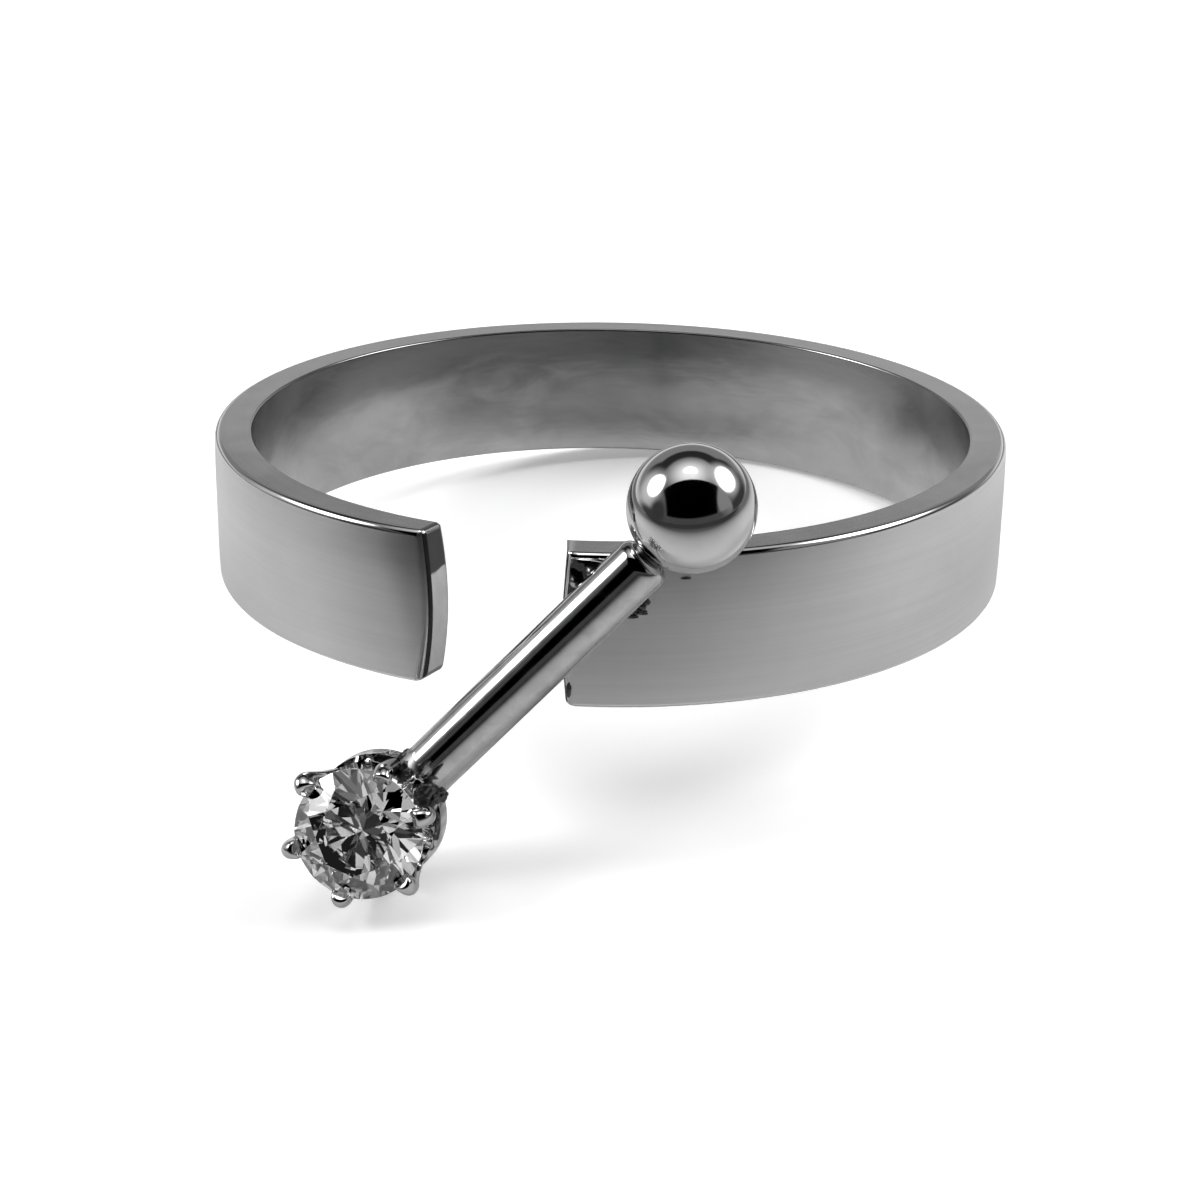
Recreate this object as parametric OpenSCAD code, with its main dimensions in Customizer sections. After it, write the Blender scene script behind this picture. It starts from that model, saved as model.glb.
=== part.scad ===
// Adjustable open ring, lying on its side as it comes to rest.
// A flat strip is bent round a finger and left open at the front. A round bar is soldered
// slantwise across its right end, with a ball at the upper end and a stone in a setting with
// six prongs at the lower end. The ring is drawn upright, with its axis along Z and its
// front towards -Y, and is then tipped onto the lowest prong and the band's rear edge.

/* [Band] */
// Radius of the hole for the finger
finger_r = 8.75; // [8:0.05:10]
// Thickness of the strip
strip_t = 0.85; // [0.6:0.05:1.2]
// Width of the strip
strip_w = 3.5; // [2.5:0.1:4.5]
// Bevel along the edges of the strip
strip_bevel = 0.08; // [0.03:0.01:0.15]
// Right end of the strip, in degrees left of the front
right_end_a = 6; // [4:0.1:8]
// How far the middle of the right end stands out past its corners
right_bow = 0.12; // [0.08:0.01:0.3]
// Left end of the strip, in degrees left of the front
left_end_a = 22.5; // [20:0.1:30]
// Slant of the left end's cut, in degrees off square
left_slant = 8; // [0:0.1:10]
// How far the middle of the left end stands out past its corners
left_bow = 0.2; // [0.08:0.01:0.3]
// How much tighter the left front quarter is bent than the rest
bend_tighter = 0.36; // [0.02:0.01:0.36]

/* [Bar and ball] */
// Diameter of the bar
bar_d = 1.2; // [0.9:0.05:1.5]
// Slope of the bar, in degrees from the band's edges
bar_slope = 46.7; // [40:0.1:50]
// Height at which the bar's axis crosses the front of the band
bar_cross_z = 2.8; // [2.5:0.01:3]
// Distance along the bar from that crossing up to the bar's upper end
bar_up = 1.18; // [1.1:0.01:1.35]
// Diameter of the ball
ball_d = 2.7; // [2:0.05:3]
// Length of solder between the bar's upper end and the ball
ball_neck = 0.01; // [0.01:0.01:0.1]
// Distance between the centre of the ball and the bar's axis
ball_off = 0.12; // [0:0.01:0.15]

/* [Setting] */
// Distance along the bar from the crossing down to the middle of the setting
setting_down = 7.06; // [6.5:0.01:8]
// Turn of the setting about the bar, in degrees
setting_roll = 16.2; // [0:0.1:25]
// Outer radius of the base ring
base_r = 1.4; // [1.3:0.01:1.5]
// Height of the base ring
base_h = 0.5; // [0.4:0.05:0.6]
// Radius of the hole in the base ring
base_hole_r = 0.95; // [0.8:0.01:1]
// Number of prongs
prongs = 6; // [6]
// Diameter of a prong
prong_d = 0.43; // [0.35:0.01:0.5]
// Radius at which the tips of the prongs stand
tip_r = 1.42; // [1.3:0.01:1.45]
// Height of the tips above the bottom of the base ring
tip_h = 1.98; // [1.9:0.01:2.2]

/* [Stone] */
// Diameter of the stone
stone_d = 2.8; // [2.5:0.01:2.85]
// Height of the girdle above the bottom of the base ring
girdle_h = 1.85; // [1.75:0.01:1.95]
// Width of the table as a share of the diameter
table_share = 0.57; // [0.5:0.01:0.65]
// Slope of the crown, in degrees
crown_slope = 34.5; // [30:0.5:38]
// Depth of the pavilion as a share of the diameter
pavilion_share = 0.43; // [0.4:0.01:0.45]
// Gap between the stone and its seat in the prongs
seat_gap = 0.03; // [0.02:0.01:0.05]

/* [Rest] */
// Tip of the ring backwards, in degrees
tip_back = 8.94; // [0:0.01:12]
// Tip of the ring to the right, in degrees
tip_right = 4.94; // [0:0.01:8]
// Height of the band's lower rim above the ground, at its centre
lift = 1.687; // [0:0.001:4]
// Shift of the ring to the right
shift_x = -0.149; // [-5:0.001:5]
// Shift of the ring to the rear
shift_y = 1.363; // [-5:0.001:5]

/* [Hidden] */
$fn = 96;
band_r = finger_r + strip_t;
front_a = 270;
left_a = 180;
bend_r = band_r - bend_tighter;
past_end_a = 6;
trim_deep = 2;
solder_sink = 0.04;
solder_r = 0.3;
solder_up = 1.05;
bar_r = bar_d / 2;
bar_y = band_r + bar_r - solder_sink;
ball_r = ball_d / 2;
ball_at = bar_up + ball_neck + ball_r;
neck_r = 0.42;
bar_low = base_r - 0.12;
base_edge = 0.06;
web_h = 1.3;
web_foot_r = 1.28;
web_top_r = 1.5;
web_t = 0.2;
slot_w = 0.98;
slot_h = 1.12;
prong_r = prong_d / 2;
prong_foot_r = base_r - prong_r - 0.04;
prong_foot_h = 0.3;
prong_angle = 360 / prongs;
girdle_r = stone_d / 2;
table_r = girdle_r * table_share;
girdle_t = 0.07;
crown_h = (girdle_r - table_r) * tan(crown_slope);
pavilion_h = stone_d * pavilion_share;
mains = 8;
main_angle = 360 / mains;
star_share = 0.5;
lower_half_share = 0.77;

// Position of a point at radius r, angle a and height z
function around(r, a, z) = [r * cos(a), r * sin(a), z];

// Tips the upright ring into its rest position on the ground
module at_rest() {
    translate([shift_x, shift_y, lift])
        rotate([-tip_back, tip_right, 0])
            children();
}

// Moves to a point on the bar's axis, with X up along the bar
module on_bar(along) {
    translate([0, -bar_y, bar_cross_z])
        rotate([0, -bar_slope, 0])
            translate([along, 0, 0])
                children();
}

// Moves to the bottom of the base ring, with Z towards the stone and X along the bar
module in_setting() {
    on_bar(-setting_down)
        rotate([90 - setting_roll, 0, 0])
            translate([0, 0, -base_h / 2])
                children();
}

// Cross section of the strip, with its edges bevelled
module strip_section(outer_r) {
    inner_r = outer_r - strip_t;
    b = strip_bevel;
    polygon([
        [inner_r + b, 0], [outer_r - b, 0], [outer_r, b], [outer_r, strip_w - b],
        [outer_r - b, strip_w], [inner_r + b, strip_w], [inner_r, strip_w - b], [inner_r, b]
    ]);
}

// Stretch of the strip that starts at the ring's left side and turns through an angle
module strip_arc(outer_r, turn) {
    rotate([0, 0, left_a])
        rotate_extrude(angle = turn, $fn = 180)
            strip_section(outer_r);
}

// What is filed away past a bowed end, with the end at angle 0 and the strip towards -Y
module end_trim(outer_r, bow) {
    bow_r = (pow(strip_w / 2, 2) + pow(bow, 2)) / (2 * bow);
    translate([outer_r - strip_t / 2, 0, strip_w / 2])
        difference() {
            translate([-strip_t, -2 * bow, -strip_w])
                cube([2 * strip_t, trim_deep, 2 * strip_w]);
            translate([-trim_deep, -bow_r, 0])
                rotate([0, 90, 0])
                    cylinder(r = bow_r, h = 2 * trim_deep);
        }
}

// Flat strip bent round the finger, open at the front
module band() {
    quarter = front_a - left_a;
    color("silver")
        difference() {
            union() {
                strip_arc(band_r, quarter - right_end_a - past_end_a - 360);
                translate([-bend_tighter, 0, 0])
                    strip_arc(bend_r, quarter - left_end_a + past_end_a);
            }
            rotate([0, 0, front_a - right_end_a])
                mirror([0, 1, 0])
                    end_trim(band_r, right_bow);
            translate([-bend_tighter, 0, 0])
                rotate([0, 0, front_a - left_end_a])
                    translate([bend_r, 0, 0])
                        rotate([0, 0, -left_slant])
                            translate([-bend_r, 0, 0])
                                end_trim(bend_r, left_bow);
        }
}

// Round bar across the right end of the band, with the solder behind it
module bar() {
    color("gainsboro") {
        on_bar(bar_low - setting_down)
            rotate([0, 90, 0])
                cylinder(d = bar_d, h = setting_down - bar_low + bar_up);
        on_bar(-solder_up)
            translate([0, bar_r - solder_r + solder_sink, 0])
                rotate([0, 90, 0])
                    cylinder(r = solder_r, h = 1.8 * solder_up);
    }
}

// Ball on the upper end of the bar, with its neck of solder
module ball() {
    color("gainsboro") {
        on_bar(ball_at)
            translate([0, 0, ball_off])
                sphere(r = ball_r);
        on_bar(bar_up - ball_neck)
            rotate([0, 90, 0])
                cylinder(r = neck_r, h = ball_r);
    }
}

// Base ring with the low web that rises from it
module basket_wall() {
    rotate_extrude()
        polygon([
            [base_hole_r, 0], [base_r - base_edge, 0], [base_r, base_edge],
            [base_r, base_h - base_edge], [base_r - base_edge, base_h], [web_foot_r, base_h],
            [web_top_r, web_h], [web_top_r - web_t, web_h], [base_hole_r, base_h]
        ]);
}

// Opening between two prongs, and the one across from it
module slot_pair() {
    translate([-2 * base_r, 0, slot_h])
        rotate([0, 90, 0])
            cylinder(d = slot_w, h = 4 * base_r);
    translate([-2 * base_r, -slot_w / 2, slot_h])
        cube([4 * base_r, slot_w, girdle_h]);
}

// One prong, from the base ring to its round tip
module prong() {
    lean = atan2(tip_r - prong_foot_r, tip_h - prong_foot_h);
    long = norm([tip_r - prong_foot_r, tip_h - prong_foot_h]);
    translate([prong_foot_r, 0, prong_foot_h])
        rotate([0, lean, 0])
            rotate_extrude($fn = 32)
                union() {
                    square([prong_r, long]);
                    translate([0, long])
                        intersection() {
                            circle(r = prong_r);
                            square(prong_r);
                        }
                }
}

// Room for the stone and its gap all round
module stone_seat() {
    g = seat_gap;
    translate([0, 0, girdle_h])
        rotate_extrude()
            polygon([
                [0, -pavilion_h - girdle_t / 2 - 2 * g], [girdle_r + g, -girdle_t / 2 - g],
                [girdle_r + g, girdle_t / 2 + g], [table_r, girdle_t / 2 + crown_h + 2 * g],
                [0, girdle_t / 2 + crown_h + 2 * g]
            ]);
}

// Setting with its prongs, soldered by its side to the lower end of the bar
module setting() {
    color("silver")
        in_setting()
            difference() {
                union() {
                    difference() {
                        basket_wall();
                        for (i = [0 : prongs / 2 - 1])
                            rotate([0, 0, i * prong_angle])
                                slot_pair();
                    }
                    for (i = [0 : prongs - 1])
                        rotate([0, 0, (i + 0.5) * prong_angle])
                            prong();
                }
                stone_seat();
            }
}

// All the metal, which is soldered into one piece
module soldered_ring() {
    at_rest() {
        band();
        bar();
        ball();
        setting();
    }
}

// Round brilliant with a table, 32 crown facets and 24 pavilion facets
module stone() {
    top = girdle_t / 2;
    half = main_angle / 2;
    table_side_r = table_r * cos(half);
    star_r = table_side_r + star_share * (girdle_r - table_side_r);
    star_z = top + crown_h * (girdle_r - star_r * cos(half)) / (girdle_r - table_r);
    low_r = girdle_r * (1 - lower_half_share);
    low_z = -top - pavilion_h * (1 - low_r * cos(half) / girdle_r);
    table = [for (i = [0 : mains - 1]) around(table_r, i * main_angle, top + crown_h)];
    star = [for (i = [0 : mains - 1]) around(star_r, (i + 0.5) * main_angle, star_z)];
    upper = [for (i = [0 : 2 * mains - 1]) around(girdle_r, i * half, top)];
    lower = [for (i = [0 : 2 * mains - 1]) around(girdle_r, i * half, -top)];
    low = [for (i = [0 : mains - 1]) around(low_r, (i + 0.5) * main_angle, low_z)];
    culet = [[0, 0, -top - pavilion_h]];
    s = mains;
    u = 2 * mains;
    l = 4 * mains;
    p = 6 * mains;
    c = 7 * mains;
    faces = [
        [for (i = [mains - 1 : -1 : 0]) i],
        for (i = [0 : mains - 1]) let (n = (i + 1) % mains, b = (i + mains - 1) % mains)
            each [
                [i, n, s + i],
                [i, s + i, u + 2 * i, s + b],
                [s + i, u + 2 * i + 1, u + 2 * i],
                [s + i, u + 2 * n, u + 2 * i + 1],
                [p + i, l + 2 * i, l + 2 * i + 1],
                [p + i, l + 2 * i + 1, l + 2 * n],
                [c, p + b, l + 2 * i, p + i]
            ],
        for (i = [0 : 2 * mains - 1]) let (n = (i + 1) % (2 * mains))
            [u + i, u + n, l + n, l + i]
    ];
    color("white", 0.6)
        at_rest()
            in_setting()
                translate([0, 0, girdle_h])
                    polyhedron(points = concat(table, star, upper, lower, low, culet), faces = faces);
}

soldered_ring();
stone();
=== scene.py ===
"""Adjustable open ring of flat strip with a bar, a ball and a set stone, lying on its side.

Each piece is shaped in millimetres in the ring's own upright frame, with its axis along Z and
its open front towards -Y. It is then brought to metres and tipped to where the ring rests.
"""
from math import atan2, cos, degrees, exp, hypot, pi, radians, sin, tan

import bpy
from mathutils import Matrix, Vector, noise


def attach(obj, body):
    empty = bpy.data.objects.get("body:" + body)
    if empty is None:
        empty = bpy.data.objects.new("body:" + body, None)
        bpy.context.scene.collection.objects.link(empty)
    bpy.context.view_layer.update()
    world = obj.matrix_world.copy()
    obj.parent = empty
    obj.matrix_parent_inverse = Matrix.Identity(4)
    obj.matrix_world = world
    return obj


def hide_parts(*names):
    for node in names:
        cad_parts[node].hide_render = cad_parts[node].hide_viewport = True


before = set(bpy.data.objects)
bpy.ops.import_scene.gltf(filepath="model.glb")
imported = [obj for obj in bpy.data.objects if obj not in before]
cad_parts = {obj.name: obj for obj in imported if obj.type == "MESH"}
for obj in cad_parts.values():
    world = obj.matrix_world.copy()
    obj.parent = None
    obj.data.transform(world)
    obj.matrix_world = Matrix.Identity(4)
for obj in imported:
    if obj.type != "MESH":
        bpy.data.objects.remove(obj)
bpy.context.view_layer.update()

# A millimetre and a thousandth of it, in metres
MM = 0.001
MICRON = 0.000001
# Less than any real size, in millimetres
TINY = 0.001
X_AXIS = Vector((1, 0, 0))
Z_AXIS = Vector((0, 0, 1))

# Sizes of the strip, in millimetres and degrees
FINGER_R = 8.75
STRIP_T = 0.85
STRIP_W = 3.5
BAND_R = FINGER_R + STRIP_T
# The left front quarter is bent round an axis that lies this far to the left
BEND_TIGHTER = 0.36
# Turn of each end from the front towards the left, and how far its corners stand back
RIGHT_END = 6.0
RIGHT_BOW = 0.12
LEFT_END = 22.5
LEFT_BOW = 0.2
# Angle of the left end's cut off square, and the length of strip over which both ends are shaped
LEFT_SLANT = 8.0
BOW_REACH = 1.6
# A turn that lies in the opening, between both ends
OPENING_AT = 12.0
# Fall of the outer face towards its top edge, which fades to the rear, and towards its low edge
CROWN_FROM = 2.2
CROWN_DEPTH = 0.045
CROWN_FADE = 6.0
CROWN_LOW = 0.8
CROWN_LOW_DEPTH = 0.015
# Further fall beside the left end, at the top and over the whole height, with its reach
END_CROWN = 0.06
END_CROWN_REACH = 1.6
END_FALL = 0.05
END_FALL_REACH = 1.3
# How far the outer face stands proud of the plain strip, once it is this far from the left end
FACE_RISE = 0.055
FACE_RISE_REACH = 5.0
# Radii of the strip's long edges, and of the edges round both of its ends
EDGE_R = {
    "outer top": 0.15, "outer low": 0.1, "inner": 0.06, "inner beside end": 0.16,
    "end outer": 0.17, "end inner": 0.11, "end top": 0.13, "end low": 0.24,
}
# Length of strip on which the inner edges widen towards an end, and which counts as the end itself
BESIDE_END = 0.9
AT_END = 0.25
# Rows of faces over the strip's height, along its left front quarter and round the rest of it
STRIP_ROWS = 14
LEFT_STEPS = 44
ROUND_STEPS = 184

# Places of the strip's finishes in its list of materials
OUTER_FACE, POLISHED_EDGE, INNER_FACE, FLAT_EDGE, END_FACE, END_LINE = range(6)
# Share of a face's direction from which it counts as turned to a side
TURNED = 0.7

# Sizes of the bar: it crosses the front's middle at a height, and runs up from there by BAR_UP
BAR_R = 0.6
BAR_SLOPE = 46.7
BAR_CROSS_Z = 2.8
BAR_UP = 1.18
# How deep the bar sits in the strip's solder and in the setting, and its rim and its stain
SOLDER_SINK = 0.04
BAR_SINK = 0.12
BAR_RIM = 0.26
BAR_STAIN = 0.3
BAR_Y = BAND_R + BAR_R - SOLDER_SINK

# Sizes of the neck and of the ball, which stands a little off the bar's axis
NECK_R = 0.4
NECK_WAIST = 0.14
NECK_IN_BAR = 0.1
NECK_IN_BALL = 0.12
BALL_R = 1.35
BALL_NECK = 0.01
BALL_OFF = 0.12
BALL_AT = BAR_UP + BALL_NECK + BALL_R

# Place of the setting's axis down the bar, its turn about the bar, and its base ring
SETTING_DOWN = 7.06
SETTING_ROLL = 16.2
BASE_R = 1.4
BASE_H = 0.5
BASE_HOLE_R = 0.95
BAR_LOW = BASE_R - BAR_SINK - SETTING_DOWN
# Web over the base ring, with slots right through it, and the round of its rims
WEB_H = 1.3
WEB_FOOT_R = 1.28
WEB_TOP_R = 1.44
WEB_T = 0.2
SLOT_W = 0.98
SLOT_H = 1.12
SLOT_TURNS = (0, 60, 120)
RIM_R = 0.035
# Wire of the claws: its foot, its lean outwards, its straight length, its bend and its blunt end
PRONG_R = 0.21
PRONG_FOOT_R = 1.15
PRONG_FOOT_H = 0.3
PRONG_LEAN = 9.5
PRONG_LONG = 1.5
PRONG_BEND_R = 0.24
PRONG_DOME = 0.07
# Turn round the stone, bend outwards, bend sideways, angle bent over and straight end of each claw
PRONG_TIPS = (
    (27, 0.03, -0.1, 56, 0.01), (89, 0.12, 0.06, 72, 0.05), (150, 0.09, 0.0, 80, 0.03),
    (210, 0.04, 0.0, 66, 0.02), (269, 0.08, 0.05, 62, 0.1), (332, 0.11, 0.03, 78, 0.06),
)

# Sizes and proportions of the stone
STONE_R = 1.4
GIRDLE_H = 1.85
GIRDLE_T = 0.07
TABLE_SHARE = 0.57
CROWN_ANGLE = 34.5
PAVILION_SHARE = 0.43
LOWER_HALVES = 0.77
STAR_LONG = 0.5
TABLE_R = TABLE_SHARE * STONE_R
CROWN_H = (STONE_R - TABLE_R) * tan(radians(CROWN_ANGLE))
PAVILION_H = PAVILION_SHARE * 2 * STONE_R
SEAT_GAP = 0.03

# Outline of the pool of solder on the strip's upper corner: distance to the right, and height
POOL_LOW = Vector((-0.93, 2.5))
POOL_HIGH = Vector((-0.03, 3.41))
POOL_CORNER = Vector((-0.84, 3.41))
# Its rise over the strip at the corner and further towards the bar, and the height of its ripples
POOL_THIN = 0.02
POOL_SWELL = 0.16
POOL_RIPPLE = 0.02
# Width of its rounded rim, how far the rim dips into the strip, and its depth behind the face
POOL_RIM = 0.05
POOL_SUNK = 0.015
POOL_DEPTH = 0.05
# Humps in the pool: distance to the right, height on the strip, width and rise
POOL_HUMPS = ((-0.74, 2.93, 0.1, 0.07), (-0.4, 3.16, 0.1, 0.06), (-0.28, 3.02, 0.07, 0.05))
# Drops on the strip: distance to the right, height on the strip, half width and half height
STRIP_DROPS = (
    (0.68, 2.36, 0.12, 0.1), (0.61, 2.24, 0.14, 0.08), (0.72, 2.2, 0.09, 0.05),
    (0.48, 2.12, 0.13, 0.05), (0.8, 2.45, 0.06, 0.07), (1.6, 2.95, 0.11, 0.02),
    (-0.84, 0.42, 0.06, 0.16),
)
STRIP_DROP_DEPTH = 0.05
# Drops round the bar's lower end: distance up along the bar, inwards and across it, and radius
JOINT_DROPS = (
    (0.02, -0.4, -0.42, 0.13), (0.0, -0.52, -0.12, 0.12), (0.03, -0.5, 0.2, 0.12),
    (0.02, -0.28, 0.46, 0.13), (0.05, 0.0, 0.56, 0.1), (0.1, -0.34, -0.55, 0.09),
    (-0.03, 0.3, -0.5, 0.12), (-0.02, 0.5, 0.0, 0.12), (0.0, 0.32, 0.44, 0.12),
    (-0.08, -0.6, 0.12, 0.19), (-0.02, -0.66, -0.12, 0.17), (-0.04, -0.5, 0.36, 0.13),
)
JOINT_DROP_SHAPE = (1.5, 0.8, 1.2)
# How uneven a drop is, in shares of its size
DROP_LUMPS = 0.38
DROP_PITS = 0.16
# Solder that has stayed bright
BRIGHT_SOLDER = ("corner_solder", "joint_solder_10")

# How the ring lies: tipped back, then to the right, and moved onto the floor
TIPPED_BACK = 8.94
TIPPED_RIGHT = 4.94
MOVED = (-0.149, 1.363, 1.687)
REST = (
    Matrix.Translation(MOVED)
    @ Matrix.Rotation(radians(TIPPED_RIGHT), 4, "Y")
    @ Matrix.Rotation(radians(-TIPPED_BACK), 4, "X")
)
TO_METRES = Matrix.Scale(MM, 4)

# Frames of the bar and the setting: X runs up along the bar, and the setting's Z to the stone
BAR = (
    Matrix.Translation((0, -BAR_Y, BAR_CROSS_Z))
    @ Matrix.Rotation(radians(-BAR_SLOPE), 4, "Y")
)
SETTING = (
    BAR
    @ Matrix.Translation((-SETTING_DOWN, 0, 0))
    @ Matrix.Rotation(radians(90 - SETTING_ROLL), 4, "X")
    @ Matrix.Translation((0, 0, -BASE_H / 2))
)


# Steps of modelling
def deselect_all():
    if bpy.context.mode != "OBJECT":
        bpy.ops.object.mode_set(mode="OBJECT")
    bpy.ops.object.select_all(action="DESELECT")


def select_only(obj):
    deselect_all()
    obj.select_set(True)
    bpy.context.view_layer.objects.active = obj


def started(name):
    """Name the primitive just added, bring its place into its mesh and open it for editing."""
    obj = bpy.context.active_object
    obj.name = name
    obj.data.name = name
    bpy.ops.object.transform_apply(location=True, rotation=True, scale=True)
    bpy.ops.object.mode_set(mode="EDIT")
    bpy.ops.mesh.select_all(action="SELECT")
    return obj


def pick_faces(obj, test):
    """Select only the faces that pass the test, and stay in edit mode."""
    bpy.ops.object.mode_set(mode="OBJECT")
    mesh = obj.data
    for group in (mesh.vertices, mesh.edges, mesh.polygons):
        for item in group:
            item.select = False
    for face in mesh.polygons:
        face.select = test(face)
    bpy.ops.object.mode_set(mode="EDIT")
    bpy.context.tool_settings.mesh_select_mode = (False, False, True)


def cut_rows(places, axis):
    """Cut the mesh being edited across an axis, at each of the places along it."""
    for at in places:
        bpy.ops.mesh.select_all(action="SELECT")
        bpy.ops.mesh.bisect(plane_co=axis * at, plane_no=axis)


def extrude(move):
    bpy.ops.mesh.extrude_region_move(TRANSFORM_OT_translate={"value": move})


def weigh_edges(obj, weight_of):
    """Give each edge the bevel weight that weight_of returns for its two ends."""
    mesh = obj.data
    weights = mesh.attributes.new("bevel_weight_edge", "FLOAT", "EDGE")
    for edge in mesh.edges:
        a, b = (mesh.vertices[i].co for i in edge.vertices)
        weights.data[edge.index].value = weight_of(a, b)


def bevel_by_weight(obj, width, segments, material=-1):
    """Round the edges that carry a bevel weight."""
    step = obj.modifiers.new("rounding", "BEVEL")
    step.width = width
    step.segments = segments
    step.limit_method = "WEIGHT"
    step.material = material
    bpy.ops.object.modifier_apply(modifier=step.name)


def shade_by_large_faces(obj):
    """Keep the large faces even in their shading, up to the rounded edges beside them."""
    bpy.ops.object.shade_smooth()
    step = obj.modifiers.new("even shading", "WEIGHTED_NORMAL")
    step.weight = 100
    bpy.ops.object.modifier_apply(modifier=step.name)


def laid(obj, local=Matrix.Identity(4)):
    """Bring a piece from its own frame to where it lies in the scene, in metres."""
    select_only(obj)
    obj.matrix_world = TO_METRES @ REST @ local
    bpy.ops.object.transform_apply(location=True, rotation=True, scale=True)
    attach(obj, "root")
    return obj


# The strip
def turn_of(point, middle_x):
    """Angle of a point round the finger, in degrees from the front towards the left."""
    return degrees(atan2(-(point.x - middle_x), -point.y)) % 360


def in_left_quarter(point):
    """Whether a point is in the left front quarter, which is bent round its own axis."""
    return point.y < TINY and point.x < 0 and turn_of(point, 0) > OPENING_AT


def axis_x(left):
    """Place of the axis of the left front quarter, or of the rest of the strip."""
    return -BEND_TIGHTER if left else 0


def from_left_end(point):
    """Length of strip between a point in the left front quarter and the left end."""
    return radians(turn_of(point, axis_x(True)) - LEFT_END) * BAND_R


def from_end(point):
    """Length of strip between a point and the end on its side of the strip."""
    if in_left_quarter(point):
        return from_left_end(point)
    return radians((RIGHT_END - turn_of(point, 0)) % 360) * BAND_R


def outside(point):
    """Whether a point is on the outer side of the strip's middle."""
    left = in_left_quarter(point)
    outer = BAND_R - BEND_TIGHTER if left else BAND_R
    return hypot(point.x - axis_x(left), point.y) > outer - STRIP_T / 2


def band(finishes):
    """Strip, drawn as its cross-section on the left and turned round the finger both ways."""
    deselect_all()
    middle = (-(FINGER_R + STRIP_T / 2), 0, STRIP_W / 2)
    bpy.ops.mesh.primitive_plane_add(size=1, location=middle, rotation=(radians(90), 0, 0))
    obj = started("band")
    for finish in finishes:
        obj.data.materials.append(finish)
    bpy.ops.transform.resize(value=(STRIP_T, 1, STRIP_W), center_override=middle)
    cut_rows([i * STRIP_W / STRIP_ROWS for i in range(1, STRIP_ROWS)], Z_AXIS)
    bpy.ops.mesh.select_all(action="SELECT")
    to_left_end = radians(90 - LEFT_END)
    left_axis = (axis_x(True), 0, 0)
    bpy.ops.mesh.spin(steps=LEFT_STEPS, angle=-to_left_end, center=left_axis, axis=(0, 0, 1))
    pick_faces(obj, lambda f: abs(f.center.y) < TINY and abs(f.normal.y) > 0.9)
    to_right_end = radians(360 - 90 + RIGHT_END)
    bpy.ops.mesh.spin(steps=ROUND_STEPS, angle=to_right_end, center=(0, 0, 0), axis=(0, 0, 1))
    bpy.ops.object.mode_set(mode="OBJECT")
    bow_ends(obj)
    crown_outer_face(obj)
    round_strip_edges(obj)
    name_faces(obj)
    map_along_strip(obj)
    return laid(obj)


def bow_ends(obj):
    """Bow both ends out at their middle, and slant the left end so that its inner edge leads."""
    for v in obj.data.vertices:
        left = in_left_quarter(v.co)
        s = from_end(v.co)
        if s > BOW_REACH:
            continue
        height = (v.co.z - STRIP_W / 2) / (STRIP_W / 2)
        back = (LEFT_BOW if left else RIGHT_BOW) * height ** 2
        if left and not outside(v.co):
            back -= STRIP_T * tan(radians(LEFT_SLANT))
        back *= 1 - s / BOW_REACH
        turn = back / BAND_R * (-1 if left else 1)
        centre = Vector((axis_x(left), 0, 0))
        v.co = centre + Matrix.Rotation(turn, 3, "Z") @ (v.co - centre)


def crown_outer_face(obj):
    """Let the outer face fall away towards the top edge, most of all at the left end.

    The face stands a little proud of the plain strip, so that its rounded edges keep the outline.
    """
    out_of_reach = 9
    for v in obj.data.vertices:
        if not outside(v.co):
            continue
        left = in_left_quarter(v.co)
        s = max(from_left_end(v.co), 0) if left else out_of_reach
        in_front = min(max(0.5 - v.co.y / CROWN_FADE, 0), 1)
        high = in_front * max(v.co.z - CROWN_FROM, 0) / (STRIP_W - CROWN_FROM)
        low = max(CROWN_LOW - v.co.z, 0) / CROWN_LOW
        fall = (CROWN_DEPTH + END_CROWN * exp(-s / END_CROWN_REACH)) * high ** 2
        fall += CROWN_LOW_DEPTH * low ** 2
        fall += END_FALL * max(1 - s / END_FALL_REACH, 0) ** 2
        fall -= FACE_RISE * min(s / FACE_RISE_REACH, 1)
        centre = Vector((axis_x(left), 0, v.co.z))
        v.co -= (v.co - centre).normalized() * fall


def round_strip_edges(obj):
    """Round the long edges and the outlines of both ends, each to its own radius."""
    def radius(a, b):
        top = min(a.z, b.z) > STRIP_W - TINY
        low = max(a.z, b.z) < TINY
        outer = outside(a)
        at_end = from_end(a) < AT_END
        if outer != outside(b):
            if at_end and (top or low):
                return EDGE_R["end top" if top else "end low"]
            return 0
        if outer and (top or low):
            return EDGE_R["outer top" if top else "outer low"]
        if top or low:
            near = max(1 - from_end((a + b) / 2) / BESIDE_END, 0)
            return EDGE_R["inner"] + (EDGE_R["inner beside end"] - EDGE_R["inner"]) * near
        if at_end and from_end(b) < AT_END and abs(a.z - b.z) > 0.1:
            return EDGE_R["end outer" if outer else "end inner"]
        return 0

    widest = max(EDGE_R.values())
    weigh_edges(obj, lambda a, b: radius(a, b) / widest)
    bevel_by_weight(obj, widest, 4, POLISHED_EDGE)
    shade_by_large_faces(obj)


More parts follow.
